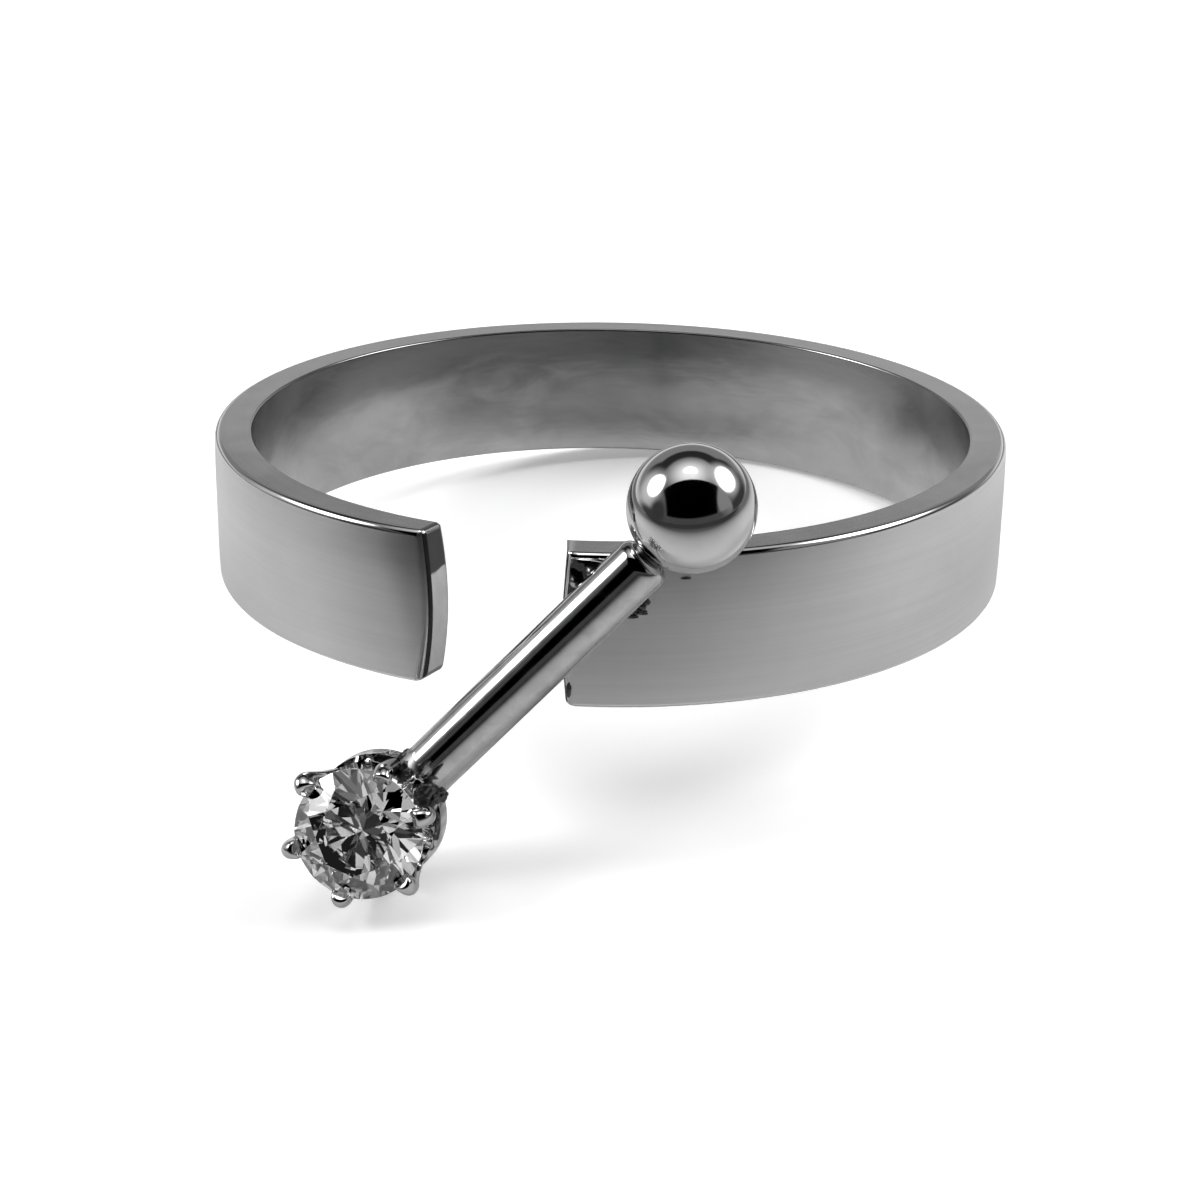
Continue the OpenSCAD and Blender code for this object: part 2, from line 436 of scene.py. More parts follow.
def name_faces(obj):
    """Give each side of the strip its own finish. The long rounded edges stay polished on the
    outer side; on the inner side they take the inner wall's finish and its painted rim shade.

    The rounding of an end's outer edge carries a painted dark line, painted shade where it turns
    to the opening. The rest of an end's rounding belongs to the outer face.
    """
    for face in obj.data.polygons:
        c = face.center
        left = in_left_quarter(c)
        from_axis = Vector((c.x - axis_x(left), c.y, 0)).normalized()
        outwards = face.normal.dot(from_axis)
        past_end = face.normal.dot(Z_AXIS.cross(from_axis)) * (1 if left else -1)
        rounded = face.material_index == POLISHED_EDGE
        on_long_edge = past_end < 0.12 or abs(face.normal.z) > 0.6
        if rounded and on_long_edge:
            # Inner long edges take the inner wall's finish, with its painted shade towards the top
            # rim.
            face.material_index = POLISHED_EDGE if outside(c) else INNER_FACE
        elif rounded:
            # Painted shade: a dark line on the end's rounding where it turns to the opening.
            shaded = past_end > 0.75 and outwards > 0.25
            face.material_index = END_LINE if shaded else OUTER_FACE
        elif abs(face.normal.z) > TURNED:
            face.material_index = FLAT_EDGE
        elif abs(outwards) > TURNED:
            face.material_index = OUTER_FACE if outwards > 0 else INNER_FACE
        else:
            face.material_index = END_FACE


def map_along_strip(obj):
    """Lay a map on the strip in millimetres: along the strip, and across each of its faces."""
    mesh = obj.data
    layer = mesh.uv_layers.new(name="strip")
    for face in mesh.polygons:
        flat = abs(face.normal.z) > TURNED
        left = in_left_quarter(face.center)
        middle_x = axis_x(left)
        for i in face.loop_indices:
            p = mesh.vertices[mesh.loops[i].vertex_index].co
            turn = turn_of(p, middle_x)
            if not left and turn < OPENING_AT:
                turn += 360
            across = hypot(p.x - middle_x, p.y) if flat else p.z
            layer.data[i].uv = (radians(turn) * BAND_R, across)


# The bar
def bar():
    """Round bar, cut off square at its lower end and rounded over at its upper end."""
    deselect_all()
    long = BAR_UP - BAR_LOW
    bpy.ops.mesh.primitive_cylinder_add(
        vertices=96, radius=BAR_R, depth=long,
        location=(BAR_LOW + long / 2, 0, 0), rotation=(0, radians(90), 0),
    )
    obj = started("bar")
    cut_rows([BAR_UP - below for below in (0.9, 0.5, 0.3)], X_AXIS)
    bpy.ops.object.mode_set(mode="OBJECT")
    weigh_edges(obj, lambda a, b: 1 if min(a.x, b.x) > BAR_UP - TINY else 0)
    bevel_by_weight(obj, BAR_RIM, 8)
    bpy.ops.object.shade_smooth_by_angle(angle=radians(40))
    return laid(obj, BAR)


# The ball
def ball():
    deselect_all()
    bpy.ops.mesh.primitive_uv_sphere_add(
        segments=128, ring_count=64, radius=BALL_R,
        location=(BALL_AT, 0, BALL_OFF), rotation=(0, radians(90), 0),
    )
    obj = started("ball")
    bpy.ops.object.mode_set(mode="OBJECT")
    bpy.ops.object.shade_smooth()
    return laid(obj, BAR)


def neck():
    """Solder between the bar and the ball, drawn in at its middle."""
    deselect_all()
    low = BAR_UP - NECK_IN_BAR
    high = BALL_AT - BALL_R + NECK_IN_BALL
    middle_z = BALL_OFF / 2
    bpy.ops.mesh.primitive_cylinder_add(
        vertices=64, radius=NECK_R, depth=high - low,
        location=((low + high) / 2, 0, middle_z), rotation=(0, radians(90), 0),
    )
    obj = started("neck")
    rows = 8
    cut_rows([low + (high - low) * i / rows for i in range(1, rows)], X_AXIS)
    bpy.ops.object.mode_set(mode="OBJECT")
    for v in obj.data.vertices:
        share = (v.co.x - low) / (high - low)
        waist = 1 - NECK_WAIST * sin(pi * share) + 0.05 * noise.noise(v.co * 5)
        v.co.y *= waist
        v.co.z = middle_z + (v.co.z - middle_z) * waist
    bpy.ops.object.shade_smooth()
    return laid(obj, BAR)


# The solder
def face_depth(across):
    """Place of the strip's outer face at a distance to the right of the middle."""
    return -((BAND_R + FACE_RISE) ** 2 - across ** 2) ** 0.5


def corner_solder():
    """Thin, rippled pool of solder over the strip's upper corner, rising towards the bar.

    It lies on a triangle: p runs along its lower side, which faces the bar, and q to its corner.
    """
    deselect_all()
    bpy.ops.mesh.primitive_grid_add(x_subdivisions=56, y_subdivisions=56, size=1)
    obj = started("corner_solder")
    bpy.ops.object.mode_set(mode="OBJECT")
    for v in obj.data.vertices:
        p = v.co.x + 0.5
        q = min(v.co.y + 0.5, 0.998)
        at = POOL_LOW.lerp(POOL_HIGH, p).lerp(POOL_CORNER, q)
        from_side = min(p, 1 - p) * (1 - q) * 1.2
        full = min(from_side / POOL_RIM, 1)
        full = full * full * (3 - 2 * full)
        ripple = noise.noise(Vector((at.x * 5, at.y * 5, 0.3)))
        rise = POOL_THIN + POOL_SWELL * (1 - q) ** 3
        rise += POOL_RIPPLE * ripple
        for x, z, wide, high in POOL_HUMPS:
            away = hypot(at.x - x, at.y - z) / wide
            rise += high * exp(-away * away)
        sunk = POOL_SUNK * (1 - full)
        v.co = (at.x, face_depth(at.x) - full * rise + sunk, at.y)
    step = obj.modifiers.new("depth", "SOLIDIFY")
    step.thickness = POOL_DEPTH
    step.offset = -1
    bpy.ops.object.modifier_apply(modifier=step.name)
    bpy.ops.object.shade_smooth()
    return laid(obj)


def solder_drop(name, place, size, seed, local=Matrix.Identity(4)):
    """Small uneven drop of solder, with its half sizes along its own frame."""
    deselect_all()
    bpy.ops.mesh.primitive_ico_sphere_add(subdivisions=4, radius=1)
    obj = started(name)
    bpy.ops.object.mode_set(mode="OBJECT")
    for v in obj.data.vertices:
        lump = 1 + DROP_LUMPS * noise.noise(v.co * 1.7 + Vector((seed, 0, 0)))
        lump += DROP_PITS * noise.noise(v.co * 4.5 + Vector((0, seed, 0)))
        v.co = Vector(place) + Vector([c * r * lump for c, r in zip(v.co, size)])
    bpy.ops.object.shade_smooth()
    return laid(obj, local)


def solder_drops():
    """Drops beside the bar on the strip, and round the bar's lower end."""
    made = []
    for k, (x, z, wide, high) in enumerate(STRIP_DROPS):
        name = "solder_drop_%d" % (k + 1)
        size = (wide, STRIP_DROP_DEPTH, high)
        made.append(solder_drop(name, (x, face_depth(x), z), size, k * 3.1))
    for k, (x, y, z, r) in enumerate(JOINT_DROPS):
        name = "joint_solder_%d" % (k + 1)
        size = [r * share for share in JOINT_DROP_SHAPE]
        made.append(solder_drop(name, (BAR_LOW + x, y, z), size, 20 + k * 2.3, BAR))
    return made


# The setting
def cut_with(obj, cutters):
    """Take the cutters' shapes out of a piece and delete them."""
    bpy.context.view_layer.objects.active = obj
    for cutter in cutters:
        step = obj.modifiers.new("cut", "BOOLEAN")
        step.operation = "DIFFERENCE"
        step.solver = "EXACT"
        step.object = cutter
        bpy.ops.object.modifier_apply(modifier=step.name)
        bpy.data.objects.remove(cutter)


def slot_cutter(turn):
    """Round-bottomed slot through both sides of the basket."""
    deselect_all()
    bpy.ops.mesh.primitive_cylinder_add(
        vertices=48, radius=SLOT_W / 2, depth=4 * BASE_R,
        location=(0, 0, SLOT_H), rotation=(0, radians(90), 0),
    )
    obj = started("slot cutter")
    pick_faces(obj, lambda f: f.normal.z > 0.01)
    bpy.ops.transform.translate(value=(0, 0, GIRDLE_H))
    bpy.ops.object.mode_set(mode="OBJECT")
    obj.matrix_world = Matrix.Rotation(radians(turn), 4, "Z")
    bpy.ops.object.transform_apply(location=True, rotation=True, scale=True)
    return obj


def looks_up(face):
    return face.normal.z > 0.9


def looks_down(face):
    return face.normal.z < -0.9


def basket():
    """Base ring, and the low web that flares up from it towards the stone."""
    deselect_all()
    bpy.ops.mesh.primitive_cylinder_add(
        vertices=120, radius=BASE_R, depth=BASE_H, location=(0, 0, BASE_H / 2)
    )
    obj = started("setting")
    pick_faces(obj, looks_up)
    bpy.ops.mesh.inset(thickness=BASE_R - WEB_FOOT_R)
    bpy.ops.mesh.inset(thickness=WEB_FOOT_R - BASE_HOLE_R)
    pick_faces(obj, looks_down)
    bpy.ops.mesh.inset(thickness=BASE_R - BASE_HOLE_R)
    pick_faces(obj, lambda f: (looks_up(f) or looks_down(f)) and len(f.vertices) > 4)
    bpy.ops.mesh.bridge_edge_loops()
    web_limit = (WEB_FOOT_R + BASE_R) / 2 - 0.03
    pick_faces(obj, lambda f: looks_up(f) and hypot(f.center.x, f.center.y) < web_limit)
    rows = 4
    for i in range(rows):
        extrude((0, 0, (WEB_H - BASE_H) / rows))
    bpy.ops.object.mode_set(mode="OBJECT")
    for v in obj.data.vertices:
        share = (v.co.z - BASE_H) / (WEB_H - BASE_H)
        if share <= 0.01:
            continue
        away = hypot(v.co.x, v.co.y)
        outer = away > (BASE_HOLE_R + WEB_FOOT_R) / 2
        foot = WEB_FOOT_R if outer else BASE_HOLE_R
        top = WEB_TOP_R if outer else WEB_TOP_R - WEB_T
        stretch = (foot + (top - foot) * share) / away
        v.co.x *= stretch
        v.co.y *= stretch
    return obj


def soften_rims(obj):
    """Break the sharp rims of the basket with a small round."""
    select_only(obj)
    step = obj.modifiers.new("soft rims", "BEVEL")
    step.width = RIM_R
    step.segments = 3
    step.limit_method = "ANGLE"
    step.angle_limit = radians(40)
    bpy.ops.object.modifier_apply(modifier=step.name)
    bpy.ops.object.shade_smooth_by_angle(angle=radians(40))


def prong(turn, out, side, bend, end):
    """Round wire from the base ring, bent over at the top so that it holds the stone's edge."""
    deselect_all()
    bpy.ops.mesh.primitive_circle_add(vertices=32, radius=PRONG_R, fill_type="NGON")
    obj = started("prong")
    rings = 10
    for i in range(rings):
        extrude((0, 0, PRONG_LONG / rings))
    middle = (-PRONG_BEND_R, 0, PRONG_LONG)
    bent = radians(bend)
    bpy.ops.mesh.spin(steps=8, angle=bent, center=middle, axis=(0, 1, 0))
    ahead = Vector((-sin(bent), 0, cos(bent)))
    tip = Vector(middle) + PRONG_BEND_R * Vector((cos(bent), 0, sin(bent)))
    tip = tip + ahead * end
    extrude(ahead * end)
    dome_tip(tip, ahead)
    bpy.ops.mesh.select_all(action="SELECT")
    bpy.ops.mesh.normals_make_consistent(inside=False)
    bpy.ops.object.mode_set(mode="OBJECT")
    for v in obj.data.vertices:
        share = max(v.co.z / PRONG_LONG, 0)
        v.co.x += out * share ** 3
        v.co.y += side * share ** 3
    obj.matrix_world = (
        Matrix.Rotation(radians(turn), 4, "Z")
        @ Matrix.Translation((PRONG_FOOT_R, 0, PRONG_FOOT_H))
        @ Matrix.Rotation(radians(PRONG_LEAN), 4, "Y")
    )
    bpy.ops.object.transform_apply(location=True, rotation=True, scale=True)
    return obj


def dome_tip(tip, ahead):
    """Close the end of a prong with a low dome, drawn out ahead of its tip."""
    rings = 6
    flat_r = PRONG_R - PRONG_DOME
    for i in range(rings):
        a, b = (pi / 2 * k / rings for k in (i, i + 0.98))
        step = ahead * PRONG_DOME * (sin(b) - sin(a))
        tip = tip + step
        extrude(step)
        size = (flat_r + PRONG_DOME * cos(b)) / (flat_r + PRONG_DOME * cos(a))
        bpy.ops.transform.resize(value=(size, size, size), center_override=tip)


def seat_cutter():
    """Room for the stone, with its gap all round."""
    deselect_all()
    g = SEAT_GAP
    bpy.ops.mesh.primitive_cylinder_add(
        vertices=96, radius=STONE_R + g, depth=GIRDLE_T + 2 * g, location=(0, 0, GIRDLE_H)
    )
    obj = started("seat cutter")
    pick_faces(obj, looks_up)
    extrude((0, 0, CROWN_H + g))
    bpy.ops.transform.resize(value=(TABLE_R / STONE_R, TABLE_R / STONE_R, 1))
    pick_faces(obj, looks_down)
    extrude((0, 0, -PAVILION_H - g))
    bpy.ops.transform.resize(value=(0.01, 0.01, 1))
    bpy.ops.object.mode_set(mode="OBJECT")
    return obj


def setting():
    """Basket with its six claws, each cut so that it clears the stone."""
    obj = basket()
    cut_with(obj, [slot_cutter(turn) for turn in SLOT_TURNS])
    soften_rims(obj)
    claws = [prong(*row) for row in PRONG_TIPS]
    for claw in claws:
        cut_with(claw, [seat_cutter()])
        select_only(claw)
        bpy.ops.object.shade_smooth_by_angle(angle=radians(50))
    select_only(obj)
    for claw in claws:
        claw.select_set(True)
    bpy.ops.object.join()
    return laid(obj, SETTING)


# The stone
def around(r, a, z):
    """Point at a radius, a turn in degrees and a height."""
    return Vector((r * cos(radians(a)), r * sin(radians(a)), z))


def cut_facet(a, b, c):
    """Cut away all that lies outside the plane of three points, which faces away from the axis."""
    flat = (b - a).cross(c - a).normalized()
    if flat.dot(a - Vector((0, 0, GIRDLE_H))) < 0:
        flat = -flat
    bpy.ops.mesh.select_all(action="SELECT")
    bpy.ops.mesh.bisect(
        plane_co=a, plane_no=flat, use_fill=True, clear_outer=True, threshold=0.00002
    )


def stone():
    """Round brilliant, cut from a round drum one facet after another.

    Each eighth turn has a main facet, a star and two halves above the girdle, and a main facet
    and two halves below it. The star and deep points are where those facets meet.
    """
    top = GIRDLE_H + GIRDLE_T / 2
    low = GIRDLE_H - GIRDLE_T / 2
    half = 22.5
    side_r = TABLE_R * cos(radians(half))
    star_r = side_r + STAR_LONG * (STONE_R - side_r)
    slope = CROWN_H / (STONE_R - TABLE_R)
    star_z = top + slope * (STONE_R - star_r * cos(radians(half)))
    deep_r = STONE_R * (1 - LOWER_HALVES)
    deep_z = low - PAVILION_H * (1 - deep_r * cos(radians(half)) / STONE_R)
    culet = Vector((0, 0, low - PAVILION_H))
    deselect_all()
    spare = 0.02
    tall = GIRDLE_T + CROWN_H + PAVILION_H + spare
    bpy.ops.mesh.primitive_cylinder_add(
        vertices=64, radius=STONE_R, depth=tall, location=(0, 0, top + CROWN_H - tall / 2)
    )
    obj = started("brilliant")
    for a in (0, 45, 90, 135, 180, 225, 270, 315):
        b = a + half
        c = a + 2 * half
        rim_a, rim_b, rim_c = (around(STONE_R, t, top) for t in (a, b, c))
        low_a, low_b, low_c = (around(STONE_R, t, low) for t in (a, b, c))
        star = around(star_r, b, star_z)
        other_star = around(star_r, a - half, star_z)
        deep = around(deep_r, b, deep_z)
        other_deep = around(deep_r, a - half, deep_z)
        cut_facet(rim_a, star, other_star)
        cut_facet(around(TABLE_R, a, top + CROWN_H), around(TABLE_R, c, top + CROWN_H), star)
        cut_facet(rim_a, rim_b, star)
        cut_facet(rim_b, rim_c, star)
        cut_facet(culet, deep, other_deep)
        cut_facet(low_a, low_b, deep)
        cut_facet(low_b, low_c, deep)
    bpy.ops.object.mode_set(mode="OBJECT")
    return laid(obj, SETTING)


# Materials
def put(tree, socket, value):
    """Link a value to a socket, or set it there when it is a plain one."""
    if isinstance(value, bpy.types.NodeSocket):
        tree.links.new(value, socket)
    else:
        socket.default_value = value


def add(tree, kind, inputs, **settings):
    """Add a node with its settings and inputs, and return it."""
    node = tree.nodes.new("ShaderNode" + kind)
    for name, value in settings.items():
        setattr(node, name, value)
    for key, value in inputs.items():
        put(tree, node.inputs[key], value)
    return node


def calc(tree, operation, *values):
    node = tree.nodes.new("ShaderNodeMath")
    node.operation = operation
    for socket, value in zip(node.inputs, values):
        put(tree, socket, value)
    return node.outputs[0]


def times(tree, value, *factors):
    """Multiply a value by one factor after another."""
    for factor in factors:
        value = calc(tree, "MULTIPLY", value, factor)
    return value


def mixed(tree, share, first, last):
    """Go from the first value to the last while the share goes from 0 to 1."""
    return add(tree, "Mix", {0: share, 2: first, 3: last}).outputs[0]


def grain(tree, place, scale, detail=2.0, rough=0.5, bend=0.0):
    """Noise between 0 and 1 on a place, stretched by its scale, or by one for each axis."""
    scales = scale if isinstance(scale, tuple) else (scale, scale, scale)
    stretched = add(tree, "VectorMath", {0: place, 1: scales}, operation="MULTIPLY").outputs[0]
    inputs = {"Vector": stretched, "Scale": 1.0, "Detail": detail, "Roughness": rough,
              "Distortion": bend}
    return add(tree, "TexNoise", inputs).outputs["Fac"]


def spread(tree, value, low, high, start=0.3, end=0.7, ease="LINEAR"):
    """Bring a value from start to end to the range from low to high."""
    inputs = {"Value": value, "From Min": start, "From Max": end, "To Min": low, "To Max": high}
    return add(tree, "MapRange", inputs, interpolation_type=ease).outputs["Result"]


def eased(tree, value, low, high, start, end):
    """The same as spread, with a soft turn at both ends."""
    return spread(tree, value, low, high, start, end, "SMOOTHSTEP")


def new_material(name):
    mat = bpy.data.materials.new(name)
    mat.use_nodes = True
    tree = mat.node_tree
    return mat, tree, tree.nodes["Principled BSDF"]


def object_place(tree):
    return add(tree, "TexCoord", {}).outputs["Object"]


def strip_place(tree):
    """Place on the strip's map, and its two parts: along the strip and across its face."""
    place = add(tree, "UVMap", {}, uv_map="strip").outputs["UV"]
    split = add(tree, "SeparateXYZ", {0: place})
    return place, split.outputs["X"], split.outputs["Y"]


def ridges(tree, shader, height, depth):
    """Raise and lower the surface by a height between 0 and 1, depth in metres."""
    inputs = {"Height": height, "Strength": 1.0, "Distance": depth}
    put(tree, shader.inputs["Normal"], add(tree, "Bump", inputs).outputs["Normal"])


def as_metal(tree, shader, shade, gloss):
    """Grey metal of a shade, with its roughness."""
    colour = add(tree, "CombineColor", {"Red": shade, "Green": shade, "Blue": shade}).outputs[0]
    put(tree, shader.inputs["Base Color"], colour)
    shader.inputs["Metallic"].default_value = 1.0
    put(tree, shader.inputs["Roughness"], gloss)


def brushed(name, tone, roughness, lines, line_depth, cloudy, painted_end_shade=1.0):
    """Silver brushed along the strip, its gloss drawn out across the lines.

    It is a little cloudy, and painted shade darkens it to its painted end shade at the left end,
    further along at the top.
    """
    lean = 0.28
    mat, tree, shader = new_material(name)
    place, along, across = strip_place(tree)
    fine = grain(tree, place, (0.14, lines, 1), detail=1.0)
    broad = grain(tree, place, (0.07, lines / 5, 1))
    cloud = grain(tree, object_place(tree), 420, detail=3.0, rough=0.6, bend=0.4)
    both = calc(tree, "ADD", times(tree, fine, 0.6), times(tree, broad, 0.4))
    cloudiness = spread(tree, cloud, 1 - cloudy, 1 + cloudy)
    # Painted shade: the tone falls towards the left end, and reaches further along at the top.
    end = radians(LEFT_END) * BAND_R
    leaning = calc(tree, "SUBTRACT", along, times(tree, across, lean))
    uneven = calc(tree, "ADD", leaning, spread(tree, cloud, -0.1, 0.1))
    darkening = eased(tree, uneven, painted_end_shade, 1.0, end - 0.7, end + 0.55)
    shade = times(tree, spread(tree, both, 0.955, 1.04), cloudiness, darkening, tone)
    gloss = calc(tree, "ADD", spread(tree, cloud, -0.02, 0.03), spread(tree, fine, -0.01, 0.02))
    as_metal(tree, shader, shade, calc(tree, "ADD", gloss, roughness))
    shader.inputs["Anisotropic"].default_value = 0.6
    shader.inputs["Anisotropic Rotation"].default_value = 0.25
    tangent = add(tree, "Tangent", {}, direction_type="UV_MAP", uv_map="strip").outputs[0]
    put(tree, shader.inputs["Tangent"], tangent)
    ridges(tree, shader, both, line_depth)
    return mat


def polished(name, tone, roughness, wear, wear_depth, cloud_scale=700, cloudy=0.035):
    """Polished silver with faint scratches two ways and a slightly uneven gloss."""
    mat, tree, shader = new_material(name)
    place = object_place(tree)
    cloud = grain(tree, place, cloud_scale, detail=3.0, rough=0.6, bend=0.6)
    one = grain(tree, place, (900, 9000, 5000))
    turned = add(tree, "Mapping", {"Vector": place, "Rotation": (0.6, 0.9, 1.1)}).outputs[0]
    two = grain(tree, turned, (8000, 800, 6000))
    scratches = times(tree, spread(tree, one, 0, 1), spread(tree, two, 0, 1))
    waves = grain(tree, place, 1500, detail=1.0)
    shade = times(tree, spread(tree, cloud, 1 - cloudy, 1 + cloudy), tone)
    as_metal(tree, shader, shade, calc(tree, "ADD", spread(tree, cloud, 0, wear), roughness))
    ridges(tree, shader, calc(tree, "ADD", times(tree, scratches, 0.25), waves), wear_depth)
    return mat


def stained_bar(name, tone, roughness, wear):
    """Polished, cloudy bar with a dark jagged stain round its soldered lower end."""
    mat, tree, shader = new_material(name)
    place = object_place(tree)
    to_scene = TO_METRES @ REST @ BAR
    low_end = to_scene @ Vector((BAR_LOW, 0, 0))
    along_bar = (to_scene.to_3x3() @ X_AXIS).normalized()
    from_end = add(tree, "VectorMath", {0: place, 1: low_end}, operation="SUBTRACT").outputs[0]
    along = add(tree, "VectorMath", {0: from_end, 1: along_bar}, operation="DOT_PRODUCT")
    distance = times(tree, along.outputs["Value"], 1 / MM)
    cloud = grain(tree, place, 2200, detail=3.0, rough=0.6, bend=0.6)
    jagged = grain(tree, place, 3400, detail=1.6, rough=0.55, bend=0.4)
    patch = grain(tree, place, 2000, detail=1.0)
    reach = calc(tree, "ADD", distance, spread(tree, jagged, -0.15, 0.15))
    darkening = spread(tree, reach, 1.0, 0.0, BAR_STAIN - 0.02, BAR_STAIN + 0.02)
    clean = times(tree, spread(tree, cloud, 0.86, 1.12), tone)
    dark = spread(tree, patch, 0.05, 0.3, 0.48, 0.6)
    clean_gloss = calc(tree, "ADD", spread(tree, cloud, 0, wear), roughness)
    gloss = mixed(tree, darkening, clean_gloss, 0.42)
    as_metal(tree, shader, mixed(tree, darkening, clean, dark), gloss)
    height = calc(tree, "ADD", times(tree, cloud, 0.05), times(tree, patch, darkening))
    ridges(tree, shader, height, 12 * MICRON)
    return mat


def worn_inside_with_painted_shade(name, tone, roughness):
    """Wall that the finger polishes: cloudy, with soft smears, and with painted shade that darkens
    it towards its top rim.

    The painted shade is darkest near the back.
    """
    mat, tree, shader = new_material(name)
    place, along, across = strip_place(tree)
    cloud = grain(tree, place, (0.45, 0.7, 1), detail=4.0, rough=0.62, bend=0.7)
    smears = grain(tree, place, (0.3, 0.9, 1), detail=4.0, rough=0.6, bend=0.6)
    fine = grain(tree, place, (1.2, 9, 1))
    height = calc(tree, "ADD", across, spread(tree, smears, -0.35, 0.35))
    # Painted shade: the wall darkens towards its top rim, most of all near the back.
    darkest_shade_at = pi * BAND_R - 1.5
    away = calc(tree, "ABSOLUTE", calc(tree, "SUBTRACT", along, darkest_shade_at))
    shade_at_rim = spread(tree, away, 0.3, 0.6, 3.0, 11.0)
    painted_rim_shade = eased(tree, height, 1.0, shade_at_rim, 1.4, 2.9)
    light = times(tree, spread(tree, cloud, 0.86, 1.12), spread(tree, smears, 0.95, 1.05))
    gloss = calc(tree, "ADD", spread(tree, cloud, 0, 0.08), spread(tree, fine, -0.01, 0.02))
    as_metal(tree, shader, times(tree, light, painted_rim_shade, tone), calc(tree, "ADD", gloss, roughness))
    ridges(tree, shader, calc(tree, "ADD", smears, times(tree, fine, 0.08)), 4 * MICRON)
    return mat


def filed_end(name, tone, roughness, painted_shade_from):
    """End of the strip: matt and pale, with painted shade above an uneven line near its top."""
    mat, tree, shader = new_material(name)
    across = strip_place(tree)[2]
    place = object_place(tree)
    cloud = grain(tree, place, (2600, 2600, 1400), detail=3.0, rough=0.6, bend=0.4)
    wave = grain(tree, place, 1500)
    height = calc(tree, "ADD", across, spread(tree, wave, -0.08, 0.08))
    # Painted shade: the end face turns dark above an uneven line near its top.
    darkening = eased(tree, height, 1.0, 0.16, painted_shade_from - 0.03, painted_shade_from + 0.03)
    shade = times(tree, spread(tree, cloud, 0.93, 1.05), darkening, tone)
    as_metal(tree, shader, shade, calc(tree, "ADD", spread(tree, cloud, 0, 0.08), roughness))
    ridges(tree, shader, cloud, 2 * MICRON)
    return mat


def gem(name):
    """Clear stone with the strong sparkle of a high refraction."""
    mat, tree, shader = new_material(name)
    dust = grain(tree, object_place(tree), 2500, detail=3.0, rough=0.7)
    put(tree, shader.inputs["Roughness"], spread(tree, dust, 0.0, 0.02, 0.55, 0.8))
    shader.inputs["Base Color"].default_value = (0.9, 0.9, 0.9, 1)
    shader.inputs["IOR"].default_value = 2.17
    shader.inputs["Transmission Weight"].default_value = 1
    return mat


# Floor, studio and camera
FLOOR_R = 600 * MM
# Brightness of the floor and of the ground behind it, to the camera
PALE_FLOOR = 0.93
PALE_GROUND = 0.95


def floor():
    """Plain pale floor, evenly bright to the camera. The metal shows it with painted shade: darker
    inside the ring, far away and in front.
    """
    deselect_all()
    bpy.ops.mesh.primitive_circle_add(vertices=128, radius=FLOOR_R, fill_type="NGON")
    obj = bpy.context.active_object
    obj.name = "floor"
    mat, tree, shader = new_material("pale floor")
    shader.inputs["Roughness"].default_value = 0.9
    shader.inputs["Specular IOR Level"].default_value = 0.0
    place = object_place(tree)
    ring_middle = (0, -1 * MM, 0)
    off_ring = add(tree, "VectorMath", {0: place, 1: ring_middle}, operation="DISTANCE")
    away = add(tree, "VectorMath", {0: place}, operation="LENGTH")
    y = add(tree, "SeparateXYZ", {0: place}).outputs["Y"]
    # Painted shade, seen only in the metal: darker inside the ring, far away and in front.
    inside = eased(tree, off_ring.outputs["Value"], 0.35, 1.0, 4.5 * MM, 8.8 * MM)
    far = eased(tree, away.outputs["Value"], 0.68, 0.16, 13 * MM, 75 * MM)
    front = spread(tree, y, 0.25, 1.0, -40 * MM, -6 * MM)
    shade = times(tree, inside, far, front)
    direct = add(tree, "LightPath", {}).outputs["Is Camera Ray"]
    put(tree, shader.inputs["Base Color"], mixed(tree, direct, shade, PALE_FLOOR))
    put(tree, shader.inputs["Emission Color"], (1, 1, 1, 1))
    # The floor glows a little: evenly to the camera, and under the same painted shade in
    # reflections.
    glow = mixed(tree, direct, times(tree, shade, 0.15), 0.3)
    put(tree, shader.inputs["Emission Strength"], glow)
    obj.data.materials.append(mat)


# Soft patches of the studio as the ring sees them: azimuth from the front to the right and
# elevation, half width and half height in degrees, squareness (2 or 4), softness, brightness
STUDIO = (
    ("wall behind", 180, 12, 48, 22, 4, 0.15, 0.27),
    ("foot of the wall", 180, 0, 80, 7.5, 2, 0.6, 0.9),
    ("upper sides", 110, 58, 42, 18, 2, 0.5, 0.3),
    ("upper left side", -110, 60, 40, 14, 2, 0.5, 0.2),
    ("gap over the wall", 180, 44, 56, 9.5, 4, 0.25, 0.03),
    ("gap beside it on the right", 137, 34, 9, 14, 2, 0.5, 0.03),
    ("gap beside it on the left", -137, 34, 9, 14, 2, 0.5, 0.03),
    ("glow over the top", 170, 90, 500, 21, 2, 1.0, 1.5),
    ("light over the top", 170, 83, 60, 5.5, 2, 0.6, 7.0),
    ("glow of the left light", -103, 26, 25, 22, 2, 0.6, 0.75),
    ("left light", -98, 37, 15, 12, 2, 0.55, 13.0),
    ("glow of the right light", 104, 40, 28, 24, 2, 0.45, 0.7),
    ("right light", 103, 36, 19, 12.5, 2, 0.55, 10.5),
    ("low gap on the right", 92, 5, 40, 7, 2, 0.5, 0.05),
    ("low gap on the left", -78, 2, 26, 7, 2, 0.5, 0.06),
    ("screen on the right", 64, 24, 13, 24, 4, 0.15, 0.3),
    ("low front", 0, 2, 58, 7, 4, 0.4, 0.08),
    ("dark beside the opening", -64, 12, 15, 16, 2, 0.4, 0.05),
)
